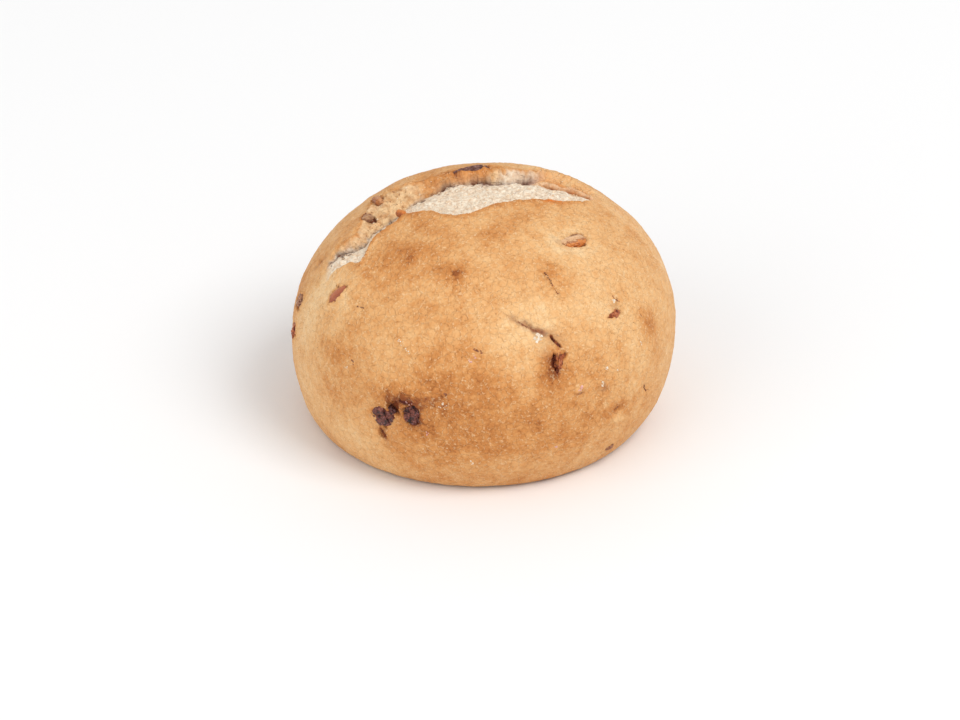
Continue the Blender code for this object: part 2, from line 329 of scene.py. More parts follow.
# smaller ones, of the same kind
nicksAndPimples = {
    "pitInDimple": (44.8, -5.4, 0.7, 0.6, 11, -0.5),
    "rimBelowDimple": (45.1, -8.6, 1.9, 0.7, -25, 0.30),
    "stitchMark": (30.4, 41.7, 2.7, 0.20, -82, -0.45),
    "rimBesideStitch": (31.6, 42.0, 2.8, 0.45, -82, 0.25),
    "nickMiddle": (-1.7, 23.4, 1.4, 0.40, -24, -0.3),
    "dashLeft": (-49.9, 28.2, 0.8, 0.25, 4, -0.35),
    "ridgeLeft": (-27.1, 21.8, 2.6, 0.35, -14, 0.25),
    "holeRight": (57.1, -2.8, 1.1, 0.35, -67, -0.6),
    "crackAboveOval": (60.5, 20.8, 1.1, 0.25, -100, -0.35),
    "gougeAboveSideRaisin": (53.4, 29.0, 1.0, 0.35, -92, -0.35),
    "knobUnderSlit": (21.0, 24.6, 0.9, 0.8, 0, 0.4),
    "oliveKnob": (13.4, 22.3, 1.3, 0.9, -7, 0.30),
    "strandBetweenRaisins": (-25.9, 1.0, 2.2, 0.5, 80, 0.75),
    "seamUnderLip": (31.3, 67.8, 1.9, 0.30, -109, -0.30),
    "rimBesideSeam": (34.0, 67.4, 1.9, 0.45, -109, 0.25),
    "arcUnderLip": (74.5, 66.9, 2.8, 0.35, -97, 0.25),
    "pimpleRight": (38.7, 6.2, 1.0, 0.6, -43, 0.35),
    "pimpleLowRight": (30.0, 7.5, 1.0, 0.6, 8, 0.35),
    "pimpleUpperRight": (41.0, 10.4, 1.1, 0.6, -51, 0.30),
    "crackLeftShoulder": (-88.2, 25.1, 1.6, 0.5, 70, -0.6),
}

# ragged holes torn in the crust over the pieces, given alike: the last number is the depth
openings = {
    "frontEye": (-28.0, 1.8, 1.65, 1.50, 0, 1.5),
    "frontMiddle": (-31.0, -1.3, 0.95, 1.10, 10, 0.8),
    "frontCorner": (-34.0, -2.0, 1.05, 0.70, -15, 1.2),
    "frontLower": (-31.7, -4.6, 1.50, 0.55, -70, 1.0),
    "frontTail": (-32.1, -8.6, 1.10, 0.70, -60, 0.8),
    "frontRight": (-22.0, 0.6, 1.75, 2.20, 12, 0.9),
    "frontRightTop": (-24.0, 4.9, 1.60, 0.45, -8, 0.5),
    "centre": (23.0, 17.2, 2.5, 0.55, -86, 1.3),
    "centreBranch": (25.8, 18.9, 1.3, 0.55, 30, 1.1),
    "centreFurrow": (24.7, 23.6, 1.8, 0.36, -62, 0.7),
    "side": (49.3, 25.1, 1.75, 0.75, -4, 0.7),
    "leftUpper": (-82.8, 13.3, 2.1, 1.5, 30, 0.8),
    "leftLower": (-80.8, 4.0, 2.3, 1.3, 75, 0.8),
    "lowRight": (45.2, -20.3, 0.8, 0.5, 10, 0.6),
    "burstRaisin": (-96.8, 45.2, 1.5, 1.1, 60, 0.8),
    "topRaisin": (-166.6, 64.3, 4.6, 1.4, 174, 0.9),
    "backRight": (136.0, 20.0, 3.1, 1.8, -25, 1.0),
    "backLow": (172.0, 9.0, 3.3, 1.9, 20, 1.0),
    "upperWalnut": (60.0, 51.4, 3.1, 1.60, -22, 0.9),
    "leftWalnut": (-62.8, 26.6, 2.9, 1.05, 66, 0.7),
    "burstWalnut": (-111.0, 46.9, 1.9, 1.1, 40, 0.7),
    "creviceWalnut": (-91.1, 58.1, 1.6, 0.9, 40, 0.4),
    "backWalnut": (-152.0, 14.0, 3.0, 1.8, -15, 1.0),
}
# where the cut and the raised rim are, 1 being the edge, and the size and amount of its shaking
openingEdge = {
    "cut": (0.80, 1.12),
    "rimAt": 1.28,
    "rimWidth": 0.16,
    "rimRise": 0.22,
    "coarseShake": (1.6, 0.60),
    "fineShake": (0.7, 0.30),
}

# the slash, torn open: its lines on the plan and its depth along x, as (x, value)
burst = {
    "frontLip": (
        (-37, -11.2), (-34, -10.5), (-30.8, -11.0), (-27, -12.2), (-25.6, -9.0), (-23.9, -6.6),
        (-20.8, -5.0), (-18.6, -3.2), (-15.5, -2.9), (-12.3, -4.1), (-9.4, -6.1), (-5, -7.3),
        (-1.6, -6.3), (1.6, -4.3), (5.5, -2.8), (10.3, -1.0), (14.3, 0.1), (19.5, 1.5), (22, 3.2),
        (27, 9.0),
    ),
    "crevice": (
        (-37, -7.2), (-34, -5.4), (-31, -5.4), (-28.4, -4.7), (-26.5, -2.2), (-23.5, 0.2), (-20.7, 2.4),
        (-18.4, 6.0), (-14, 8.8), (-9, 11.2), (-5, 12.0), (0, 12.0), (3.6, 11.7), (6.2, 12.0),
        (9.1, 13.4), (13, 15.3), (16, 15.4), (21, 13.2), (27, 12.4),
    ),
    "backLip": (
        (-37, -6.2), (-34, -4.4), (-31, -4.3), (-28.8, -3.4), (-27.6, 0.5), (-26.8, 4.5), (-24.5, 9.0),
        (-21, 11.0), (-15, 12.0), (-9, 12.6), (-5, 13.1), (0, 13.2), (4, 14.3), (9, 14.9), (16, 17.2),
        (22, 14.6), (27, 13.8),
    ),
    "depth": (
        (-38, 0.0), (-32, 1.0), (-26, 2.4), (-16, 2.7), (-8, 2.1), (2, 1.9), (11, 1.8), (20, 1.1),
        (28, 0.0),
    ),
    "frontRagged": 0.4275,
    "creviceRagged": 0.765,
    "backRagged": 0.54,
    "ends": (-38.0, 28.0),
    "endFade": 8.0,
    "lowest": 30.0,
    "lowestFade": 4.0,
    "cliff": 0.7,
    "floorAtLip": 0.40,
    "floorCurve": 1.5,
    "grooveDepth": 0.85,
    "grooveWidth": 0.45,
    "lipRise": 0.55,
    "lipDecay": 3.0,
    "backRise": 0.75,
    "backDecay": 6.0,
    "cragSize": 2.6,
    "cragRise": 0.38,
    "floorGrain": 0.28,
    "wallGrain": 1.25,
    "fibreLength": 4.5,
    "fibreWidth": 0.75,
    "fibreRise": 0.30,
    "fibreTurn": -38.0,
    "flakeSize": 2.4,
    "flakeRise": 0.60,
    "flakesAt": 2.0,
    "flakesReach": 4.5,
}

# torn layers along the right end of the burst: the line on the plan, how far back each lies,
# and how far before it its dark foot is, painted stain and painted shade
tornLayers = {
    "start": (12.0, 13.4),
    "end": (24.6, 7.6),
    "back": (0.0, 1.6, 3.2),
    "startStep": 0.10,
    "endShare": 0.96,
    "endStep": 0.12,
    "fade": 0.12,
    "raggedness": 0.45,
    "rise": 0.80,
    "width": 0.48,
    "footAhead": 0.65,
    "footDepth": 0.6,
    "footStainAndShadeWidth": 0.36,
}

# scattered dots of relief: size of their cells, shift, rise, which of the cells have one,
# and how far it reaches in its cell
crumbDots = {
    "bubbles": (1.9, 0.0, -0.85, (-0.1, 0.6), (0.12, 0.52)),
    "pores": (0.95, 3.0, -0.30, (-0.5, 0.5), (0.1, 0.5)),
}
crustDots = {
    "blisters": (3.1, 0.0, 0.12, (0.35, 0.8), (0.08, 0.30)),
    "pits": (2.4, 6.0, -0.18, (0.55, 0.85), (0.05, 0.20)),
}

# fine unevenness of the crumb and of the baked skin
grain = {
    "crumbSize": 0.8,
    "crumbRise": 0.16,
    "waveSize": 6.0,
    "waveRise": 0.10,
    "unevenSize": 3.3,
    "unevenRise": 0.08,
    "crinkleSize": 2.1,
    "crinkleRise": 0.07,
}


def lineAt(knots, x):
    # smooth line through the knots, given as (x, y)
    kx, ky = np.array(knots, float).T
    slope = np.gradient(ky, kx)
    i = np.clip(np.searchsorted(kx, x) - 1, 0, len(kx) - 2)
    span = kx[i + 1] - kx[i]
    t = np.clip((x - kx[i]) / span, 0.0, 1.0)
    value = (2 * t ** 3 - 3 * t ** 2 + 1) * ky[i] + (t ** 3 - 2 * t ** 2 + t) * span * slope[i]
    return value + (3 * t ** 2 - 2 * t ** 3) * ky[i + 1] + (t ** 3 - t ** 2) * span * slope[i + 1]


def burstLines(points):
    # the three lines beside each point, with their ragged edges
    x = points[:, 0]
    front = lineAt(burst["frontLip"], x) + burst["frontRagged"] * layeredNoise(points / 1.5, 4)
    crevice = lineAt(burst["crevice"], x) + burst["creviceRagged"] * layeredNoise(points / 2.0 + 5.0, 4)
    back = lineAt(burst["backLip"], x) + burst["backRagged"] * layeredNoise(points / 2.1 + 9.0, 3)
    crevice = np.maximum(crevice, front + burst["cliff"])
    return front, crevice, np.maximum(back, crevice + burst["cliff"])


def burstEnds(points):
    low, high = burst["ends"]
    fade = burst["endFade"]
    inside = between(points[:, 0], (low, low + fade), (high - fade, high))
    return inside * smoothStep(points[:, 2], burst["lowest"], burst["lowest"] + burst["lowestFade"])


def burstRelief(points):
    b = burst
    y = points[:, 1]
    front, crevice, back = burstLines(points)
    depth = lineAt(b["depth"], points[:, 0])
    toward = np.clip((y - front) / (crevice - front), 0.0, 1.0)
    beyond = np.clip((y - crevice) / (back - crevice), 0.0, 1.0)
    cliff = smoothStep(y - front, 0.0, b["cliff"])
    floor = -depth * (b["floorAtLip"] + (1.0 - b["floorAtLip"]) * toward ** b["floorCurve"])
    inside = floor * cliff + b["lipRise"] * (1.0 - cliff)
    wall = -depth * (1.0 - beyond) + b["backRise"] * beyond
    relief = np.where(y < crevice, inside, wall)
    relief = np.where(y < front, b["lipRise"] * np.exp(-np.abs(y - front) / b["lipDecay"]), relief)
    relief = np.where(y > back, b["backRise"] * np.exp(-np.abs(y - back) / b["backDecay"]), relief)
    torn = between(y, (front, front + b["cliff"]), (back - 0.5, back + 1.0))
    relief += torn * b["cragRise"] * smoothNoise(points / b["cragSize"])
    relief -= b["grooveDepth"] * bell(y - crevice, b["grooveWidth"]) * torn
    onWall = smoothStep(y, crevice - 0.3, crevice + 0.5)
    amount = b["floorGrain"] + (b["wallGrain"] - b["floorGrain"]) * onWall
    relief += torn * amount * crumbRelief(points)
    relief += torn * (1.0 - onWall) * b["fibreRise"] * fibres(points)
    nearBack = bell(y - back - b["flakesAt"], b["flakesReach"]) * (y > back)
    relief += b["flakeRise"] * nearBack * layeredNoise(points / b["flakeSize"] + 4.0, 3)
    return relief * burstEnds(points) + layerRelief(points)


def fibres(points):
    # strands of crumb, pulled slantwise across the burst
    turn = math.radians(burst["fibreTurn"])
    along = points[:, 0] * math.cos(turn) + points[:, 1] * math.sin(turn)
    across = points[:, 1] * math.cos(turn) - points[:, 0] * math.sin(turn)
    spots = np.stack([along / burst["fibreLength"], across / burst["fibreWidth"], points[:, 2] / 3.0])
    return layeredNoise(spots.T, 2)


def layerPlace(points):
    # share along the torn layers' line, and the distance back from it
    start = np.array(tornLayers["start"])
    line = np.array(tornLayers["end"]) - start
    length = np.linalg.norm(line)
    offset = points[:, :2] - start
    share = offset @ line / length ** 2
    back = (offset[:, 1] * line[0] - offset[:, 0] * line[1]) / length
    return share, back + tornLayers["raggedness"] * layeredNoise(points / 2.4 + 3.0, 3)


def layerShare(points, shift, width):
    # 1 along each torn layer, moved back by the shift
    share, back = layerPlace(points)
    fade = tornLayers["fade"]
    total = np.zeros(len(points))
    for number, place in enumerate(tornLayers["back"]):
        start = tornLayers["startStep"] * number
        end = tornLayers["endShare"] - tornLayers["endStep"] * number
        inside = between(share, (start, start + fade), (end, end + fade))
        total += inside * bell(back - place - shift, width)
    return np.clip(total, 0.0, 1.0) * (points[:, 2] > burst["lowest"])


def layerFeet(points, width):
    # 1 along the foot before each torn layer
    return layerShare(points, -tornLayers["footAhead"], width)


def layerRelief(points):
    width = tornLayers["width"]
    edge = layerShare(points, 0.0, width) - tornLayers["footDepth"] * layerFeet(points, width)
    return tornLayers["rise"] * edge


def addDots(relief, points, dots):
    for size, shift, rise, chosen, edge in dots.values():
        away, share = cellNoise(points / size + shift)
        relief += rise * smoothStep(share, *chosen) * (1.0 - smoothStep(away, *edge))


def crumbRelief(points):
    relief = np.zeros(len(points))
    addDots(relief, points, crumbDots)
    return relief + grain["crumbRise"] * layeredNoise(points / grain["crumbSize"], 2)


def crustRelief(points):
    relief = grain["waveRise"] * smoothNoise(points / grain["waveSize"] + 8.0)
    relief += grain["unevenRise"] * layeredNoise(points / grain["unevenSize"], 3)
    crinkle = np.abs(smoothNoise(points / grain["crinkleSize"] + 2.0))
    relief += grain["crinkleRise"] * (1.0 - smoothStep(crinkle, 0.0, 0.16))
    addDots(relief, points, crustDots)
    return relief


def shaken(points, size, amount):
    # the same places, pushed about by noise, for ragged edges
    push = np.stack([layeredNoise(points / size + shift, 3) for shift in (0.0, 4.3, 8.9)], axis=1)
    return points + amount * push


def openingReach(points):
    # how far each point is out from the nearest opening, 1 being its edge, and the depth there
    push = shaken(shaken(points, *openingEdge["coarseShake"]), *openingEdge["fineShake"]) - points
    reach = np.full(len(points), 9.0)
    depth = np.zeros(len(points))
    for patch in openings.values():
        far = patchReach(points + push * min(1.0, patch[3]), *patch[:5])
        nearer = far < reach
        reach = np.where(nearer, far, reach)
        depth = np.where(nearer, patch[5], depth)
    return reach, depth


def skinPoints(ways):
    points, normals = plainForm(ways)
    relief = form["swellRise"] * smoothNoise(points / form["swell"] + 3.7)
    relief += form["rippleRise"] * smoothNoise(points / form["ripple"] + 9.1)
    ragged = shaken(points, 1.6, 0.3)
    for patch in (*lumpsAndHollows.values(), *nicksAndPimples.values()):
        relief += patch[5] * patchShare(ragged, *patch[:5])
    relief += burstRelief(points)
    relief += crustRelief(points)
    reach, depth = openingReach(points)
    rim = bell(reach - openingEdge["rimAt"], openingEdge["rimWidth"])
    relief += openingEdge["rimRise"] * rim - depth * (1.0 - smoothStep(reach, *openingEdge["cut"]))
    relief *= smoothStep(points[:, 2], form["reliefStarts"], form["reliefFull"])
    skin = points + normals * relief[:, None]
    skin[:, 2] = np.where(skin[:, 2] < form["footSnap"], 0.0, skin[:, 2])
    return skin, points


# Where the crust is pale, brown, torn or stained

# azimuth, climb, half length, half width, turn, amount
browning = {
    "belly": (2, 4, 22, 8.5, 0, 0.26),
    "bellyLow": (4, -9, 16, 5.5, 0, 0.20),
    "bellyLeft": (-13, 2, 8, 5, 20, 0.20),
    "aboveBellyLeft": (-17, 18, 8, 5, 10, 0.13),
    "bellyRight": (37, 3.5, 9, 7, -10, 0.05),
    "leftCheek": (-51, 11, 6, 8, 0, 0.10),
    "topLeftField": (-33, 47, 8, 6, 0, 0.04),
    "underLipLeft": (-62, 63.5, 8, 1.7, 12, 0.16),
    "underLipMiddle": (0, 68, 8, 1.7, 0, 0.08),
    "underLipRight": (30, 70.5, 8, 1.8, 20, 0.16),
    "leftShoulder": (-92, 34, 8, 8, 0, 0.06),
    "ovalSwelling": (62.0, 17.2, 3.8, 2.1, -84, 0.46),
    "rightOfStitch": (35.4, 42.3, 3.4, 2.4, -39, 0.26),
    "rightTop": (65, 43, 8, 7, 0, 0.06),
    "paleByCentreRaisin": (14, 25.5, 6.5, 5.5, -30, -0.26),
    "paleRightCheek": (50, 27, 13, 11, 0, -0.18),
    "paleRoundWalnut": (56.5, 51.4, 4.4, 3.0, -30, -0.42),
    "paleLowLeft": (-43, -15, 7, 6, 20, -0.20),
    "paleLeftEdge": (-72, 8, 5, 11, 0, -0.30),
    "paleLeftWedge": (-72, 22, 4, 7, 20, -0.22),
    "paleAtLeftWalnut": (-57.0, 25.5, 2.0, 4.0, 30, -0.20),
    "lumpRight": (-15.5, 48.4, 3.4, 1.8, -6, 0.32),
    "lumpRightCore": (-13.9, 48.1, 1.2, 0.7, 0, 0.28),
    "lumpLeft": (-44.2, 52.1, 3.8, 2.1, 40, 0.36),
    "underLumpLeft": (-40.0, 47.0, 5.0, 2.2, 10, 0.18),
    "overFrontRaisins": (-25.6, 5.4, 3.8, 1.6, 5, 0.46),
    "besideFrontRaisins": (-20.0, -3.5, 3.0, 2.0, 0, 0.10),
    "centreHalo": (22.0, 18.5, 2.8, 3.4, 0, 0.34),
    "oliveKnob": (13.4, 22.3, 1.4, 0.9, -7, 0.22),
    "reddishLeft": (-57.3, 36.8, 1.0, 0.8, 0, 0.30),
    "speckledUnderCentre": (22.0, 13.8, 2.6, 1.8, 0, 0.24),
    "dimple": (44.5, -4.6, 1.6, 1.4, 0, 0.34),
    "lightUnderDimple": (44.9, -8.0, 1.5, 0.8, -20, -0.34),
    "backBelly": (172, 3, 24, 9, 0, 0.24),
    "backRight": (136, 12, 12, 8, 0, 0.16),
    "backLeft": (-135, 10, 10, 8, 0, 0.14),
    "paleBack": (150, 40, 12, 9, 0, -0.18),
    "paleBackLeft": (-120, 22, 9, 8, 0, -0.16),
    "stainBack": (-170, 40, 3.5, 2.0, 20, 0.36),
}

# raisin juice soaked into the crust; the slit entries are painted shade under the slit's flap as well as
# stain
stainsAndShade = {
    "aboveFrontRight": (-22.4, 5.6, 2.2, 0.8, 0, 0.40),
    "aboveFrontEye": (-26.0, 4.8, 1.4, 0.5, 0, 0.34),
    "legOfFrontRaisins": (-32.3, -7.6, 1.8, 0.40, -63, 0.60),
    # painted shade under the slit's flap, with stain
    "slit": (16.4, 29.6, 3.2, 0.44, -37, 0.62),
    "slitEndStainAndShade": (20.8, 27.6, 1.5, 0.5, -30, 0.40),
    "brownByCentre": (21.0, 20.4, 1.9, 1.2, -69, 0.26),
    "overCentre": (25.0, 25.0, 1.6, 0.9, -55, 0.40),
    "belowCentre": (23.3, 14.4, 1.0, 0.7, 0, 0.40),
    "pitInDimple": (44.6, -4.6, 0.7, 0.5, 60, 0.22),
    "aboveSideRaisin": (50.5, 27.4, 1.0, 0.6, 0, 0.30),
    "rightFleck": (38.7, 5.4, 0.9, 0.6, -20, 0.40),
    "darkUnderPink": (30.0, 6.2, 0.8, 0.35, 8, 0.45),
    "holeOverFrontRight": (-17.0, 7.0, 0.9, 0.35, 0, 0.45),
    "olivePatch": (-88.2, 25.1, 1.6, 0.8, 70, 0.45),
    "greyByUpperWalnut": (51.3, 53.7, 1.3, 0.7, -88, 0.30),
}

ambers = {
    "atFrontLipRight": (92.0, 64.6, 1.4, 0.75, -85, 1.3),
    "byCreviceWalnut": (-91.1, 59.5, 1.8, 0.7, 40, 0.8),
    "plates": (122.0, 54.5, 5.0, 1.2, -151, 0.30),
    "underTopRaisin": (-164.5, 68.0, 3.6, 0.7, 174, 0.24),
    "atTopRaisinEnd": (178.0, 62.0, 1.0, 0.9, 174, 0.60),
}

# how much each thing browns the crust
bake = {
    "everywhere": 0.40,
    "broadSize": 11.0,
    "broad": 0.10,
    "smallSize": 4.2,
    "small": 0.07,
    # the foot: darker towards the bottom, fading out over these heights
    "footHeight": (1.0, 9.0),
    "foot": 0.05,
    "frontLip": 0.24,
    "backLip": 0.20,
    "roundOpenings": 0.22,
    "burstWall": 0.14,
    "plates": -0.16,
    "layerFeet": 0.15,
}

# tones in the burst: where along x each begins and ends, and how strong it is
burstTones = {
    "bakedWallStarts": (-17.5, -13.0),
    "bakedWallEnds": (0.0, 3.0),
    "bakedWall": 0.85,
    "paleWallStarts": (2.0, 6.0),
    "paleWall": 0.70,
    # the grey is painted shade before the crevice
    "greyStarts": (-3.0, 2.0),
    "greyEnds": (12.0, 16.0),
    # the crevice shade and its holes are painted shade
    "gapStarts": (-37.0, -34.0),
    "gapEnds": (9.0, 13.0),
    "creviceShadeAhead": 0.16,
    "creviceShadeWidth": 0.50,
    "gap": 1.5,
    "holesAhead": 1.5,
    "holesWidth": 0.60,
    "holes": 0.9,
    # painted shade at the layers' feet and in the openings, partly stain
    "feetStainAndShade": 0.7,
    "openingStainAndShade": 0.90,
}


def sumOfPatches(points, patches):
    total = np.zeros(len(points))
    for patch in patches.values():
        total += patch[5] * patchShare(points, *patch[:5])
    return total


def spanOf(x, name):
    # 1 between the named tone's beginning and end
    return between(x, burstTones[name + "Starts"], burstTones[name + "Ends"])


def creviceShadeMask(points, crevice, rough, fine):
    # painted shade in the crevice: a dark line along it, and the small holes before it
    t = burstTones
    y = points[:, 1]
    broken = smoothStep(fine + 0.6 * rough, -0.65, 0.25)
    gap = t["gap"] * bell(y - crevice + t["creviceShadeAhead"], t["creviceShadeWidth"]) * (0.40 + 0.60 * broken)
    holes = bell(y - crevice + t["holesAhead"], t["holesWidth"])
    gap += t["holes"] * holes * smoothStep(fine, 0.05, 0.45)
    return gap * spanOf(points[:, 0], "gap") * smoothStep(burstEnds(points), 0.05, 0.4)


def skinMasks(points):
    t = burstTones
    x, y, z = points.T
    front, crevice, back = burstLines(points)
    ends = burstEnds(points)
    ragged = shaken(points, 1.3, 0.5)
    rough = layeredNoise(points / 2.2 + 1.0, 3)
    fine = layeredNoise(points / 0.9 + 2.0, 2)

    # crumb, its tan wall, and the grey before the crevice, which is painted shade
    torn = between(y, (front + 0.1, front + 0.7), (back - 0.6, back + 0.2))
    share, behindLayers = layerPlace(points)
    plates = smoothStep(behindLayers, -0.5, 0.3) * smoothStep(share, -0.10, 0.10) * (y < back + 3.0)
    feet = layerFeet(points, tornLayers["footStainAndShadeWidth"])
    onWall = smoothStep(y, crevice - 0.1, crevice + 0.6)
    bakedWall = onWall * spanOf(x, "bakedWall")
    crumb = torn * smoothStep(ends, 0.10, 0.45) * (1.0 - plates) * (1.0 - t["bakedWall"] * bakedWall)
    crumb *= 1.0 - np.sqrt(feet)
    pale = t["paleWall"] * smoothStep(x, *t["paleWallStarts"])
    tan = smoothStep(y, crevice + 0.1, crevice + 1.0) * (1.0 - pale) + 0.15 * rough
    grey = smoothStep(y, crevice - 2.6, crevice - 0.6) * spanOf(x, "grey")
    grey *= crumb * (1.0 - 0.7 * onWall) * smoothStep(rough, -0.4, 0.2)

    # browning
    reach = openingReach(points)[0]
    lipEdge = bell(y - front + 0.5, 0.9) * (y < front + 0.3)
    backEdge = bell(y - back - 0.6, 1.1) * (y > back - 0.6)
    toast = bake["everywhere"] + sumOfPatches(ragged, browning)
    toast += bake["broad"] * smoothNoise(points / bake["broadSize"] + 4.0)
    toast += bake["small"] * layeredNoise(points / bake["smallSize"], 3)
    toast += bake["foot"] * (1.0 - smoothStep(z, *bake["footHeight"]))
    toast += (bake["frontLip"] * lipEdge + bake["backLip"] * backEdge) * ends
    toast += bake["roundOpenings"] * (1.0 - smoothStep(reach, 1.0, 2.0))
    toast += bake["burstWall"] * bakedWall + bake["plates"] * plates + bake["layerFeet"] * feet

    # juice and amber, with painted shade in the openings round the pieces and at the torn layers' feet
    stain = sumOfPatches(ragged, stainsAndShade) * (1.0 + 0.5 * rough)
    stain += t["openingStainAndShade"] * (1.0 - smoothStep(reach + 0.20 * rough, 0.85, 1.20))
    stain += t["feetStainAndShade"] * feet ** 2 * smoothStep(fine, -0.8, 0.0)
    amber = sumOfPatches(ragged, ambers) * (1.0 - 0.6 * crumb)
    amber += 0.12 * plates * smoothStep(rough, -0.5, 0.5)
    masks = {
        "toast": toast,
        "crumb": crumb,
        "tan": tan,
        "grey": grey,
        "stain": stain,
        "gap": creviceShadeMask(points, crevice, rough, fine),
        "amber": amber,
    }
    return {name: np.clip(values, 0.0, 1.0) for name, values in masks.items()}


# Finishes

def toLinear(red, green, blue):
    # a colour as read off a screen, 0 to 255, to linear light
    parts = []
    for value in (red, green, blue):
        value /= 255.0
        parts.append(value / 12.92 if value <= 0.04045 else ((value + 0.055) / 1.055) ** 2.4)
    return (*parts, 1.0)


class Finish:
    # a material and short ways to add nodes to it
    def __init__(self, name):
        self.material = bpy.data.materials.new(name)
        self.material.use_nodes = True
        self.tree = self.material.node_tree
        self.shader = self.tree.nodes["Principled BSDF"]
        self.place = self.tree.nodes.new("ShaderNodeTexCoord").outputs["Object"]

    def node(self, kind, inputs=None, **settings):
        made = self.tree.nodes.new(kind)
        for key, value in settings.items():
            setattr(made, key, value)
        for key, value in (inputs or {}).items():
            if isinstance(value, bpy.types.NodeSocket):
                self.tree.links.new(value, made.inputs[key])
            else:
                made.inputs[key].default_value = value
        return made

    def noise(self, size, detail=3.0, roughness=0.55, stretch=None):
        where = self.place
        if stretch:
            where = self.node("ShaderNodeMapping", {"Vector": where, "Scale": stretch}).outputs[0]
        inputs = {"Vector": where, "Scale": 1.0 / (size * mm), "Detail": detail, "Roughness": roughness}
        return self.node("ShaderNodeTexNoise", inputs).outputs["Fac"]

    def cells(self, size):
        inputs = {"Vector": self.place, "Scale": 1.0 / (size * mm)}
        return self.node("ShaderNodeTexVoronoi", inputs).outputs["Distance"]

    def shaken(self, size, amount):
        # the place, pushed about by noise over the given size, in millimetres
        inputs = {"Vector": self.place, "Scale": 1.0 / (size * mm), "Detail": 2.0}
        colour = self.node("ShaderNodeTexNoise", inputs).outputs["Color"]
        inputs = {0: colour, 1: (0.5, 0.5, 0.5)}
        push = self.node("ShaderNodeVectorMath", inputs, operation="SUBTRACT").outputs[0]
        inputs = {0: push, 1: (amount * mm,) * 3, 2: self.place}
        return self.node("ShaderNodeVectorMath", inputs, operation="MULTIPLY_ADD").outputs[0]

    def edges(self, size, place):
        inputs = {"Vector": place, "Scale": 1.0 / (size * mm)}
        return self.node("ShaderNodeTexVoronoi", inputs, feature="DISTANCE_TO_EDGE").outputs["Distance"]

    def math(self, operation, first, second):
        return self.node("ShaderNodeMath", {0: first, 1: second}, operation=operation).outputs[0]

    def spread(self, value, low, high, toLow=0.0, toHigh=1.0):
        inputs = {"Value": value, "From Min": low, "From Max": high, "To Min": toLow, "To Max": toHigh}
        return self.node("ShaderNodeMapRange", inputs).outputs[0]

    def mix(self, share, first, second):
        made = self.node("ShaderNodeMix", data_type="RGBA")
        for key, value in ((0, share), (6, first), (7, second)):
            if isinstance(value, bpy.types.NodeSocket):
                self.tree.links.new(value, made.inputs[key])
            else:
                made.inputs[key].default_value = value
        return made.outputs[2]

    def ramp(self, value, stops):
        made = self.node("ShaderNodeValToRGB", {0: value})
        steps = made.color_ramp.elements
        while len(steps) < len(stops):
            steps.new(0.5)
        for step, (at, colour) in zip(steps, stops):
            step.position = at
            step.color = colour
        return made.outputs[0]

    def mask(self, name):
        return self.node("ShaderNodeAttribute", attribute_name=name).outputs["Fac"]

    def bump(self, layers):
        # layers are (height socket, height in millimetres)
        normal = None
        for height, size in layers:
            inputs = {"Height": height, "Distance": size * mm, "Strength": 1.0}
            if normal:
                inputs["Normal"] = normal
            normal = self.node("ShaderNodeBump", inputs).outputs[0]
        self.tree.links.new(normal, self.shader.inputs["Normal"])

    def send(self, value, socket):
        if isinstance(value, bpy.types.NodeSocket):
            self.tree.links.new(value, self.shader.inputs[socket])
        else:
            self.shader.inputs[socket].default_value = value


crustColours = {
    "pale": toLinear(240, 201, 151),
    "straw": toLinear(233, 184, 128),
    "gold": toLinear(224, 167, 108),
    "tan": toLinear(210, 144, 83),
    "brown": toLinear(190, 121, 63),
    "dark": toLinear(146, 82, 40),
    "crumb": toLinear(250, 236, 214),
    "crumbShade": toLinear(220, 188, 156),
    # painted shade in the crumb's holes and before the crevice
    "crumbPaintedShade": toLinear(178, 146, 134),
    "wallTan": toLinear(236, 198, 150),
    "wallBrown": toLinear(202, 150, 100),
    "wallFleck": toLinear(150, 94, 58),
    # painted shade in the crevice
    "gap": toLinear(116, 70, 46),
    "creviceShadeDeep": toLinear(82, 46, 34),
    # stains, and painted shade in the openings, the slit and the layers' feet
    "stain": toLinear(146, 74, 40),
    "stainAndShadePurple": toLinear(104, 50, 44),
    "amber": toLinear(222, 124, 50),
    # light flecks, partly painted glints
    "fleck": toLinear(250, 216, 170),
    "pore": toLinear(160, 98, 52),
}


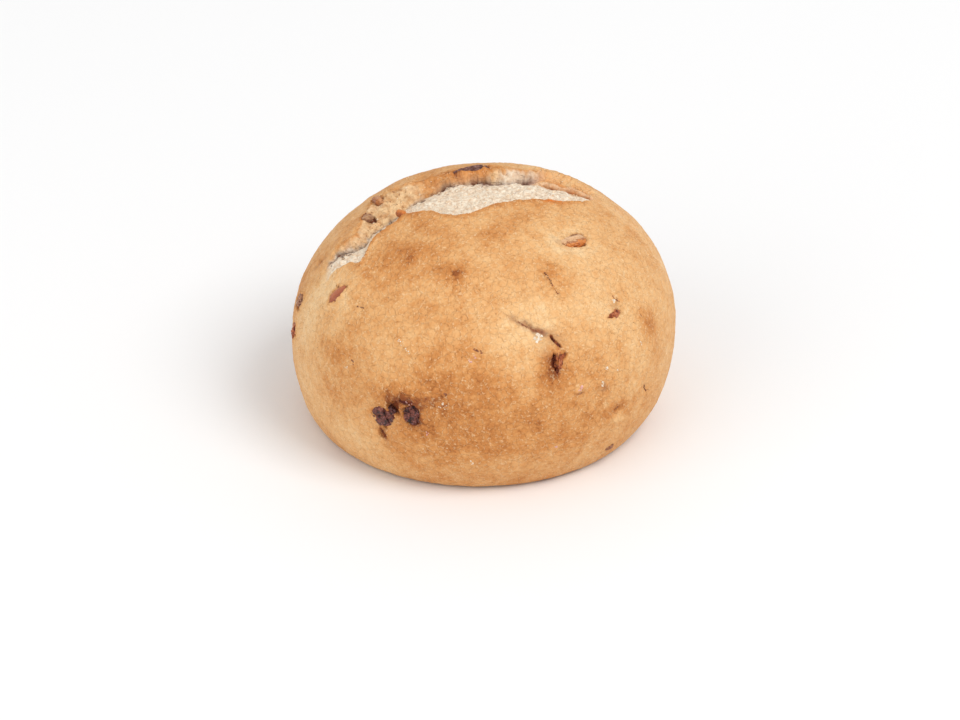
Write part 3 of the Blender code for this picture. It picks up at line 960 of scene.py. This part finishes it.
def skinTone(finish, soft, mottle, creases):
    # the baked skin, from pale to dark
    c = crustColours
    toast = finish.mask("toast")
    for source, amount in ((soft, 0.30), (mottle, 0.26), (finish.noise(0.45, 2.0), 0.18)):
        toast = finish.math("ADD", toast, finish.spread(source, 0.25, 0.75, -0.5 * amount, 0.5 * amount))
    skin = finish.ramp(toast, (
        (0.0, c["pale"]), (0.22, c["straw"]), (0.44, c["gold"]),
        (0.64, c["tan"]), (0.84, c["brown"]), (1.0, c["dark"]),
    ))

    # short light strokes, where the skin is crinkled, partly a painted highlight on the crinkles, and
    # darker cracks between them
    where = finish.spread(finish.noise(0.75, 2.0), 0.50, 0.60)
    lightStrokesAndGlints = finish.math("MULTIPLY", finish.spread(creases, 0.015, 0.075, 0.46, 0.0), where)
    skin = finish.mix(lightStrokesAndGlints, skin, c["fleck"])
    cracks = finish.spread(finish.edges(1.3, finish.shaken(1.0, 0.9)), 0.01, 0.06, 0.14, 0.0)
    cracks = finish.math("MULTIPLY", cracks, finish.spread(soft, 0.52, 0.60))
    skin = finish.mix(cracks, skin, c["pore"])

    # light flecks, partly pale specks and partly painted glints, and dark pores
    flecksAndGlints = finish.spread(finish.cells(1.15), 0.10, 0.26, 0.46, 0.0)
    flecksAndGlints = finish.math("MULTIPLY", flecksAndGlints, finish.spread(mottle, 0.48, 0.60))
    skin = finish.mix(flecksAndGlints, skin, c["fleck"])
    pores = finish.spread(finish.cells(1.45), 0.06, 0.20, 0.55, 0.0)
    pores = finish.math("MULTIPLY", pores, finish.spread(soft, 0.50, 0.62))
    return finish.mix(pores, skin, c["pore"])


def tornTone(finish, mottle):
    # the crumb, and the wall behind it
    c = crustColours
    cream = finish.spread(finish.noise(0.9, 4.0, 0.65), 0.34, 0.60)
    cream = finish.mix(cream, c["crumbShade"], c["crumb"])
    # painted shade in the crumb's holes, and in the grey before the crevice
    holes = finish.spread(finish.cells(1.3), 0.10, 0.28, 0.55, 0.0)
    holes = finish.math("MULTIPLY", holes, finish.spread(mottle, 0.45, 0.60))
    cream = finish.mix(holes, cream, c["crumbPaintedShade"])
    cream = finish.mix(finish.mask("grey"), cream, c["crumbPaintedShade"])
    wall = finish.spread(finish.noise(1.5, 4.0, 0.6), 0.35, 0.60)
    wall = finish.mix(wall, c["wallBrown"], c["wallTan"])
    wallFlecks = finish.spread(finish.noise(0.7, 3.0, 0.6), 0.60, 0.68, 0.0, 0.75)
    wall = finish.mix(wallFlecks, wall, c["wallFleck"])
    return finish.mix(finish.mask("tan"), cream, wall)


def crustFinish():
    c = crustColours
    finish = Finish("bakedCrust")
    soft = finish.noise(4.0, 4.0)
    mottle = finish.noise(1.3, 3.0)
    creases = finish.edges(1.6, finish.shaken(0.7, 1.1))
    skin = skinTone(finish, soft, mottle, creases)
    surface = finish.mix(finish.mask("crumb"), skin, tornTone(finish, mottle))
    # stains, and painted shade in the openings, the slit and the layers' feet
    stainAndShadeTone = finish.spread(finish.noise(0.9, 3.0), 0.40, 0.62)
    stainAndShadeTone = finish.mix(stainAndShadeTone, c["stain"], c["stainAndShadePurple"])
    surface = finish.mix(finish.mask("stain"), surface, stainAndShadeTone)
    # painted shade in the crevice and its holes
    creviceShadeTone = finish.spread(finish.noise(0.8, 2.0), 0.40, 0.60)
    creviceShadeTone = finish.mix(creviceShadeTone, c["gap"], c["creviceShadeDeep"])
    surface = finish.mix(finish.mask("gap"), surface, creviceShadeTone)
    surface = finish.mix(finish.mask("amber"), surface, c["amber"])
    finish.send(surface, "Base Color")
    finish.send(finish.spread(mottle, 0.3, 0.7, 0.58, 0.78), "Roughness")
    finish.send(0.18, "Specular IOR Level")
    fine = finish.noise(0.35, 3.0, 0.6)
    ridges = finish.spread(creases, 0.0, 0.12, 1.0, 0.0)
    finish.bump(((mottle, 0.32), (fine, 0.16), (finish.cells(0.8), 0.12), (ridges, 0.10)))
    return finish.material


# painted shade in the folds, the skin's own colour on the body, painted light on the ridges, and the bloom
# with painted sheen over them
raisinColours = {
    "dark": ((42, 16, 14), (108, 50, 36), (158, 92, 74), (164, 112, 118)),
    "tan": ((148, 98, 68), (188, 138, 98), (214, 172, 130), (202, 168, 150)),
    "reddish": ((116, 48, 22), (186, 98, 52), (214, 138, 84), (206, 146, 118)),
    "brown": ((118, 70, 46), (170, 112, 76), (206, 156, 116), (196, 160, 144)),
    "grey": ((88, 46, 30), (126, 82, 68), (160, 122, 108), (136, 116, 120)),
}

# from the lower edge of a piece to its upper edge, and the specks all over it
walnutSpeck = (150, 104, 80)
walnutColours = {
    "glossy": (
        (0.0, (112, 56, 22)), (0.10, (196, 108, 42)), (0.28, (218, 136, 62)),
        (0.36, (158, 92, 50)), (0.44, (216, 168, 122)), (0.76, (226, 184, 142)),
        (0.92, (128, 70, 34)),
    ),
    "brick": ((0.0, (150, 84, 56)), (0.35, (168, 88, 54)), (0.70, (184, 106, 68)), (1.0, (208, 146, 106))),
    "brown": ((0.0, (150, 84, 44)), (0.40, (184, 118, 68)), (0.75, (204, 146, 96)), (1.0, (160, 100, 60))),
    "orange": ((0.0, (166, 84, 34)), (0.50, (220, 130, 52)), (1.0, (206, 140, 78))),
}


def raisinFinish(kind):
    shadedFold, skin, litRidge, bloomAndSheen = (toLinear(*colour) for colour in raisinColours[kind])
    finish = Finish(kind + "Raisin")
    # dark folds and light ridges by noise: painted shade and painted light
    tone = finish.ramp(finish.noise(1.0, 4.0, 0.7), ((0.40, shadedFold), (0.53, skin), (0.68, litRidge)))
    tone = finish.mix(finish.spread(finish.noise(0.55, 3.0), 0.55, 0.68, 0.0, 0.42), tone, bloomAndSheen)
    finish.send(tone, "Base Color")
    finish.send(finish.spread(finish.noise(0.8), 0.3, 0.7, 0.25, 0.55), "Roughness")
    finish.send(0.5, "Specular IOR Level")
    finish.bump(((finish.noise(0.6, 4.0, 0.65), 0.40), (finish.noise(0.25, 2.0), 0.12)))
    return finish.material


def walnutFinish(kind):
    finish = Finish(kind + "Walnut")
    veins = finish.noise(1.4, 4.0, 0.6, stretch=(1.0, 2.2, 1.4))
    level = finish.math("ADD", finish.mask("across"), finish.spread(veins, 0.3, 0.7, -0.14, 0.14))
    tone = finish.ramp(level, [(at, toLinear(*colour)) for at, colour in walnutColours[kind]])
    specks = finish.spread(finish.noise(0.5, 3.0), 0.56, 0.66, 0.0, 0.45)
    tone = finish.mix(specks, tone, toLinear(*walnutSpeck))
    finish.send(tone, "Base Color")
    finish.send(finish.spread(finish.noise(0.8), 0.3, 0.7, 0.28, 0.50), "Roughness")
    finish.send(0.5, "Specular IOR Level")
    finish.bump(((finish.noise(0.9, 4.0, 0.6), 0.25), (finish.noise(0.3, 2.0), 0.08)))
    return finish.material


# darker and lighter colour, roughness and height of the grain
grainColours = {
    "looseCrumb": ((226, 190, 150), (246, 226, 196), 0.80, 0.12),
    "whiteGrain": ((222, 198, 168), (240, 228, 210), 0.45, 0.05),
    "pinkGrain": ((212, 150, 136), (236, 196, 188), 0.40, 0.05),
    "burntSpeck": ((112, 64, 40), (160, 100, 64), 0.60, 0.08),
}


def grainFinish(kind):
    darker, lighter, roughness, height = grainColours[kind]
    finish = Finish(kind)
    share = finish.spread(finish.noise(0.7, 3.0), 0.38, 0.62)
    finish.send(finish.mix(share, toLinear(*darker), toLinear(*lighter)), "Base Color")
    finish.send(roughness, "Roughness")
    finish.bump(((finish.noise(0.3, 3.0), height),))
    return finish.material


# Meshes

def waysIn(body):
    ways = np.array([vertex.co[:] for vertex in body.verts])
    return ways / np.linalg.norm(ways, axis=1)[:, None]


def splitWhere(body, chosen, cuts):
    body.verts.index_update()
    inside = chosen(plainForm(waysIn(body))[0])
    edges = [edge for edge in body.edges if inside[edge.verts[0].index] and inside[edge.verts[1].index]]
    bmesh.ops.subdivide_edges(body, edges=edges, cuts=cuts, use_grid_fill=True)
    bmesh.ops.triangulate(body, faces=[face for face in body.faces if len(face.verts) > 3])


# how finely each part of the crust is divided
crustMesh = {
    "level": 6,
    "coarseBehind": 12.0,
    "coarseBelow": 26.0,
    "fineAbove": 0.4,
    "beforeLip": 1.6,
    "behindLip": 1.4,
    "insideEnds": 1.0,
    "roundOpenings": 1.0,
    "openingsBefore": 20.0,
}


def coarseZone(points):
    # low on the back, where a coarser mesh is enough
    return (points[:, 1] > crustMesh["coarseBehind"]) & (points[:, 2] < crustMesh["coarseBelow"])


def fineZone(points):
    return (points[:, 2] > crustMesh["fineAbove"]) & ~coarseZone(points)


def nearOpenings(points):
    margin = crustMesh["roundOpenings"]
    near = np.zeros(len(points), dtype=bool)
    for azimuth, climb, halfLength, halfWidth, turn, depth in openings.values():
        near |= patchReach(points, azimuth, climb, halfLength + margin, halfWidth + margin, turn) < 1.0
    return near & (points[:, 1] < crustMesh["openingsBefore"])


def inBurst(points):
    x, y, z = points.T
    low, high = burst["ends"]
    margin = crustMesh["insideEnds"]
    inside = y > lineAt(burst["frontLip"], x) - crustMesh["beforeLip"]
    inside &= y < lineAt(burst["backLip"], x) + crustMesh["behindLip"]
    return inside & (x > low + margin) & (x < high - margin) & (z > burst["lowest"] + margin)


def finestZone(points):
    return inBurst(points) | nearOpenings(points)


def addPiece(name, mesh, material, slot, *nodes):
    mesh.materials.append(material)
    mesh.shade_smooth()
    piece = bpy.data.objects.new(name, mesh)
    bpy.context.scene.collection.objects.link(piece)
    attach(piece, "root")
    if nodes:
        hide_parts(*nodes)
    return piece


def meshFrom(name, vertices, faces):
    mesh = bpy.data.meshes.new(name)
    mesh.from_pydata((vertices * mm).tolist(), [], faces)
    mesh.update()
    return mesh


def buildCrust(material):
    body = bmesh.new()
    bmesh.ops.create_icosphere(body, subdivisions=crustMesh["level"], radius=1.0)
    splitWhere(body, fineZone, 2)
    splitWhere(body, coarseZone, 1)
    splitWhere(body, finestZone, 1)
    ways = waysIn(body)
    mesh = bpy.data.meshes.new("crust")
    body.to_mesh(mesh)
    body.free()
    skin, plain = skinPoints(ways)
    mesh.vertices.foreach_set("co", (skin * mm).ravel())
    for name, values in skinMasks(plain).items():
        layer = mesh.attributes.new(name, "FLOAT", "POINT")
        layer.data.foreach_set("value", values)
    mesh.update()
    print("crust", len(mesh.polygons), "triangles")
    return addPiece("crust", mesh, material, "crust", "roll")


pieceLevel = 6  # how finely a raisin or walnut piece is divided

# length, width and thickness, turn, tilt, and which colours
raisins = {
    "raisin_front_left": ((7.4, 7.0, 3.8), 18, 0, "dark"),
    "raisin_front_right": ((5.0, 6.0, 3.6), 0, 0, "dark"),
    "raisin_centre": ((8.4, 3.4, 3.4), 82, 0, "reddish"),
    "raisin_side": ((3.8, 2.4, 2.2), 0, 0, "reddish"),
    "raisin_left_upper": ((5.6, 4.2, 2.8), 30, 0, "brown"),
    "raisin_left_lower": ((6.0, 4.2, 2.8), 75, 0, "reddish"),
    "raisin_low_right": ((2.8, 2.0, 1.8), 10, 0, "brown"),
    "raisin_burst": ((3.4, 2.4, 2.0), 60, 0, "tan"),
    "raisin_top": ((9.6, 2.8, 2.6), 174, 8, "grey"),
    "raisin_back_right": ((8.2, 5.4, 3.6), -25, 0, "dark"),
    "raisin_back_low": ((8.8, 5.8, 3.6), 20, 0, "dark"),
}
walnuts = {
    "walnut_upper_right": ((7.4, 3.8, 3.4), -22, 0, "glossy"),
    "walnut_left": ((6.8, 3.0, 2.2), 66, 0, "brick"),
    "walnut_burst": ((4.4, 2.4, 2.2), 40, 0, "brown"),
    "walnut_crevice": ((3.3, 1.7, 2.0), 40, 0, "orange"),
    "walnut_back": ((7.6, 4.6, 3.4), -15, 0, "glossy"),
}

raisinSkin = {
    "reach": 0.93,
    "foldDepth": 0.08,
    "creases": ((2.6, 0.20), (5.2, 0.10)),
    "creaseWidth": 0.30,
    "plump": 0.06,
    "unevenness": 0.05,
}


def raisinShape(ways, phase):
    # deep folds along the raisin, and creases with plump skin between them
    x, y, z = ways.T
    around = np.arctan2(z, y)
    folds = np.sin(4 * around + 2.2 * x + phase) + 0.5 * np.sin(7 * around - 3.0 * x + 2 * phase)
    reach = raisinSkin["reach"] + raisinSkin["foldDepth"] * folds * (1.0 - x * x)
    for count, depth in raisinSkin["creases"]:
        crease = np.abs(smoothNoise(ways * np.array([0.7, 1.0, 1.0]) * count + 5.0 * phase))
        reach -= depth * (1.0 - smoothStep(crease, 0.0, raisinSkin["creaseWidth"]))
    uneven = raisinSkin["unevenness"] * layeredNoise(ways * 7.0 + phase, 2)
    return ways * (reach + raisinSkin["plump"] + uneven)[:, None]


walnutSkin = {
    "reach": 0.93,
    "bluntness": 3.0,
    "lobeRise": 0.035,
    "grooveDepth": 0.12,
    "grooveWidth": 0.2,
    "unevenness": 0.03,
}


def walnutShape(ways, phase):
    # a broken piece with blunt sides, a few lobes and grooves
    x, y, z = ways.T
    power = walnutSkin["bluntness"]
    blunt = np.sum(np.abs(ways) ** power, axis=1) ** (-1.0 / power)
    lobes = np.sin(5.0 * x + phase) + np.sin(4.0 * y + 3.0 * z + 2 * phase)
    groove = np.abs(layeredNoise(ways * 2.2 + 3.0 * phase, 2))
    reach = walnutSkin["reach"] * blunt * (1.0 + walnutSkin["lobeRise"] * lobes)
    reach -= walnutSkin["grooveDepth"] * (1.0 - smoothStep(groove, 0.0, walnutSkin["grooveWidth"]))
    uneven = walnutSkin["unevenness"] * layeredNoise(ways * 6.0 + phase, 2)
    return ways * (reach + uneven)[:, None]


def buildPiece(node, size, turn, tilt, shape, phase, material, slot):
    # in the middle of its solid, and turned in the crust's own plane
    low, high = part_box(node)
    centre = np.array((low + high) / 2) / mm
    way = centre - np.array([0.0, 0.0, form["widestLevel"]])
    azimuth = math.degrees(math.atan2(way[0], -way[1]))
    climb = math.degrees(math.atan2(way[2], math.hypot(way[0], way[1])))
    along, across, outward = axesAt(azimuth, climb, turn)[1:]
    tilt = math.radians(tilt)
    raised = along * math.cos(tilt) + outward * math.sin(tilt)
    body = bmesh.new()
    bmesh.ops.create_icosphere(body, subdivisions=pieceLevel, radius=1.0)
    local = shape(waysIn(body), phase)
    mesh = bpy.data.meshes.new(node)
    body.to_mesh(mesh)
    body.free()
    layer = mesh.attributes.new("across", "FLOAT", "POINT")
    layer.data.foreach_set("value", 0.5 + 0.5 * local[:, 1])
    axes = np.stack([raised, across, np.cross(raised, across)])
    turned = local * np.array(size) / 2.0 @ axes + centre
    mesh.vertices.foreach_set("co", (turned * mm).ravel())
    mesh.update()
    words = node.split("_")
    name = words[0] + "".join(word.capitalize() for word in words[1:])
    return addPiece(name, mesh, material, slot, node)


phaseStep = 1.7  # from each piece's folds to the next one's


def buildPieces(pieces, shape, finishFor, slot):
    finishes = {}
    for number, (node, (size, turn, tilt, kind)) in enumerate(pieces.items()):
        if kind not in finishes:
            finishes[kind] = finishFor(kind)
        buildPiece(node, size, turn, tilt, shape, phaseStep * number, finishes[kind], slot)
    print(len(pieces), slot, "pieces")


lump = {
    "level": 2,
    "narrowest": 0.6,
    "widest": 1.25,
    "flatness": 0.8,
    "unevenness": 0.35,
}


def lumpMesh(name, places, outwards, sizes, seed):
    # many small uneven lumps as one mesh
    draw = np.random.default_rng(seed)
    body = bmesh.new()
    bmesh.ops.create_icosphere(body, subdivisions=lump["level"], radius=1.0)
    unit = waysIn(body)
    body.verts.index_update()
    faces = np.array([[vertex.index for vertex in face.verts] for face in body.faces])
    body.free()
    vertices = []
    allFaces = []
    for number, (place, outward, size) in enumerate(zip(places, outwards, sizes)):
        spin = draw.normal(size=3)
        side = np.cross(outward, spin)
        side /= np.linalg.norm(side)
        axes = np.stack([side, np.cross(outward, side), outward])
        stretch = draw.uniform(lump["narrowest"], lump["widest"], 3)
        stretch *= np.array([1.0, 1.0, lump["flatness"]])
        uneven = 1.0 + lump["unevenness"] * smoothNoise(unit * 1.4 + 13.0 * number)
        vertices.append((unit * uneven[:, None] * stretch * size) @ axes + place)
        allFaces.append(faces + number * len(unit))
    return meshFrom(name, np.concatenate(vertices), np.concatenate(allFaces).tolist())


# spots narrower than the row width are evenly spaced rows
grains = {
    "rowWidth": 0.15,
    "sizes": (0.55, 1.0),
    "seeds": {"whiteGrains": 21, "pinkGrains": 31, "burntSpecks": 41},
}

# azimuth, climb, half length, half width, turn, how many, largest half size
whiteGrains = {
    "inSlit": (19.1, 26.1, 1.15, 0.85, 18, 26, 0.34),
    "slitTip": (18.0, 25.2, 0.40, 0.40, 0, 5, 0.30),
    "overSideRaisin": (51.8, 28.8, 0.60, 0.50, 0, 8, 0.26),
    "right": (38.2, 6.9, 0.30, 0.50, 0, 6, 0.26),
    "rightUpper": (40.6, 11.2, 0.45, 0.35, 0, 4, 0.24),
    "farRight": (44.8, 8.8, 0.40, 0.40, 0, 3, 0.22),
    "belowOval": (56.0, 13.0, 0.50, 0.60, 0, 4, 0.24),
    "left": (-46.5, 9.0, 0.50, 0.30, 40, 4, 0.22),
    "leftRidge": (-27.5, 21.6, 2.60, 0.35, -35, 9, 0.22),
    "belly": (-12.0, 5.6, 1.20, 0.90, 20, 8, 0.24),
    "low": (-3.5, -14.0, 1.20, 0.80, 0, 5, 0.22),
}
pinkGrains = {
    "lowRight": (30.4, 7.8, 0.70, 0.40, 35, 7, 0.28),
    "middle": (-3.5, 21.0, 1.10, 0.90, 20, 7, 0.22),
    "bottom": (22.5, -11.0, 0.30, 0.60, 0, 3, 0.24),
    "aboveFrontRight": (-22.8, 4.8, 1.10, 0.40, 0, 5, 0.22),
    "belowFrontRight": (-16.5, -4.6, 0.90, 0.40, -20, 4, 0.24),
}
burntSpecks = {
    "stitch": (30.8, 41.6, 2.75, 0.10, -82, 13, 0.26),
    "slitCore": (16.0, 29.9, 2.30, 0.10, -37, 13, 0.22),
    "nickMiddle": (-1.7, 23.4, 1.40, 0.35, -24, 10, 0.24),
    "dashLeft": (-49.7, 27.7, 0.90, 0.06, 12, 5, 0.18),
    "gouge": (53.4, 29.0, 0.80, 0.10, -70, 5, 0.24),
    "crackAboveOval": (60.8, 20.8, 0.80, 0.06, -104, 5, 0.17),
    "holeRight": (57.4, -3.0, 1.10, 0.10, -68, 7, 0.24),
    "underPink": (30.0, 6.1, 0.60, 0.10, 8, 4, 0.18),
    "dimple": (44.6, -4.6, 0.70, 0.35, 60, 6, 0.20),
    "leftCheek": (-44.5, 11.5, 0.80, 0.40, -50, 5, 0.20),
    "bellyMiddle": (-11.5, 9.6, 0.45, 0.35, 80, 4, 0.26),
}


def scatterGrains(name, spots, kind):
    # little lumps half sunk in the crust, within each spot's oval
    seed = grains["seeds"][name]
    draw = np.random.default_rng(seed)
    ways = []
    sizes = []
    for azimuth, climb, halfLength, halfWidth, turn, count, largest in spots.values():
        place, along, across = axesAt(azimuth, climb, turn)[:3]
        angle = draw.uniform(0.0, 2.0 * math.pi, count)
        reach = np.sqrt(draw.uniform(0.0, 1.0, count))
        inRow = halfWidth < grains["rowWidth"]
        far = np.linspace(-1.0, 1.0, count) if inRow else reach * np.cos(angle)
        offset = np.outer(far * halfLength, along) + np.outer(reach * np.sin(angle) * halfWidth, across)
        way = place + offset - np.array([0.0, 0.0, form["widestLevel"]])
        ways.append(way / np.linalg.norm(way, axis=1)[:, None])
        sizes.append(largest * draw.uniform(*grains["sizes"], count))
    ways = np.concatenate(ways)
    places = skinPoints(ways)[0]
    outwards = plainForm(ways)[1]
    mesh = lumpMesh(name, places, outwards, np.concatenate(sizes), seed + 1)
    print(name, len(ways))
    return addPiece(name, mesh, grainFinish(kind), "crust")


crumbs = {
    "inBurst": 260,
    "alongBurst": (-34.0, 24.0),
    "acrossBurst": (0.02, 1.0),
    "smallest": 0.10,
    "largest": 0.28,
    "fewLarge": 2.5,
    "seed": 5,
}


def buildCrumbs():
    count = crumbs["inBurst"]
    draw = np.random.default_rng(crumbs["seed"])
    x = draw.uniform(*crumbs["alongBurst"], count)
    share = draw.uniform(*crumbs["acrossBurst"], count)
    front = lineAt(burst["frontLip"], x)
    y = front + share * (lineAt(burst["backLip"], x) - front)
    ways = wayAbove(x, y)
    places = skinPoints(ways)[0]
    outwards = plainForm(ways)[1]
    spread = crumbs["largest"] - crumbs["smallest"]
    sizes = crumbs["smallest"] + spread * draw.random(count) ** crumbs["fewLarge"]
    mesh = lumpMesh("burstCrumbs", places, outwards, sizes, crumbs["seed"] + 1)
    print("burstCrumbs", count)
    return addPiece("burstCrumbs", mesh, grainFinish("looseCrumb"), "crust")


buildStage()
buildCrust(crustFinish())
buildPieces(raisins, raisinShape, raisinFinish, "raisin")
buildPieces(walnuts, walnutShape, walnutFinish, "walnut")
buildCrumbs()
scatterGrains("whiteGrains", whiteGrains, "whiteGrain")
scatterGrains("pinkGrains", pinkGrains, "pinkGrain")
scatterGrains("burntSpecks", burntSpecks, "burntSpeck")
